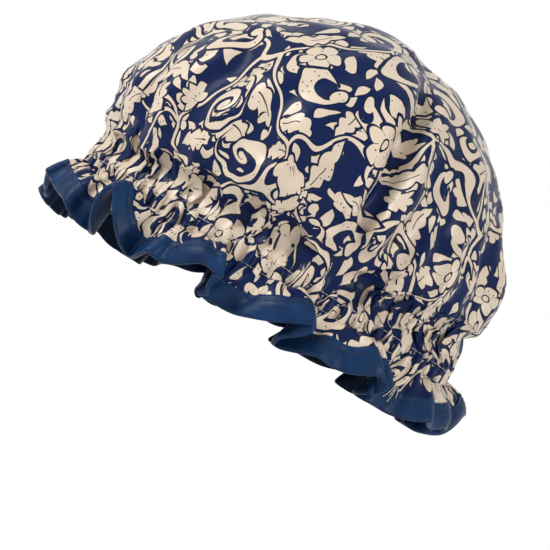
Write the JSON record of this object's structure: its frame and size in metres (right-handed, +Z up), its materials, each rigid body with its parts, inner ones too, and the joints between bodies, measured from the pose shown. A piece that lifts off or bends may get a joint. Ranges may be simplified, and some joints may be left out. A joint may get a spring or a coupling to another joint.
{
  "type": "shower cap",
  "caption": "Gathered bouffant shower cap of printed satin with a waterproof lining, a hidden elastic and a frill with a bound edge.",
  "frame": {"origin": "bottom centre of the bounding box: the middle of the cap's outline, on the plane that the frill rests on", "axes": "+Z up through the crown, along the axis of the opening; -Y towards the forehead and +Y towards the nape; +X the wearer's left"},
  "size_m": [0.1962, 0.2392, 0.1676],
  "materials": {
    "satin_print": "satin with a cream scroll print on navy",
    "satin_navy": "plain navy satin bias tape",
    "waterproof_film": "soft white waterproof film",
    "elastic": "woven elastic",
    "thread_navy": "sewing thread",
    "thread_pale": "sewing thread"
  },
  "bodies": {
    "cap": {"crown_shell": "satin_print", "waterproof_lining": "waterproof_film", "elastic_band": "elastic", "edge_binding": "satin_navy", "binding_needle_thread": "thread_navy", "binding_bobbin_thread": "thread_navy", "channel_top_needle_thread": "thread_pale", "channel_top_bobbin_thread": "thread_pale", "channel_bottom_needle_thread": "thread_pale", "channel_bottom_bobbin_thread": "thread_pale"},
    "nape": {"elastic_join_thread": "thread_pale", "binding_join_thread": "thread_navy", "thread_tails": "thread_pale"}
  },
  "joints": [
    {"name": "opening_stretch", "type": "slide", "parent": "cap", "child": "nape", "axis": [0, 1, 0], "range_m": [-0.045, 0.035], "stiffness_N_per_m": 60, "deforming": ["crown_shell", "waterproof_lining", "elastic_band", "edge_binding", "binding_needle_thread", "binding_bobbin_thread", "channel_top_needle_thread", "channel_top_bobbin_thread", "channel_bottom_needle_thread", "channel_bottom_bobbin_thread"]}
  ]
}
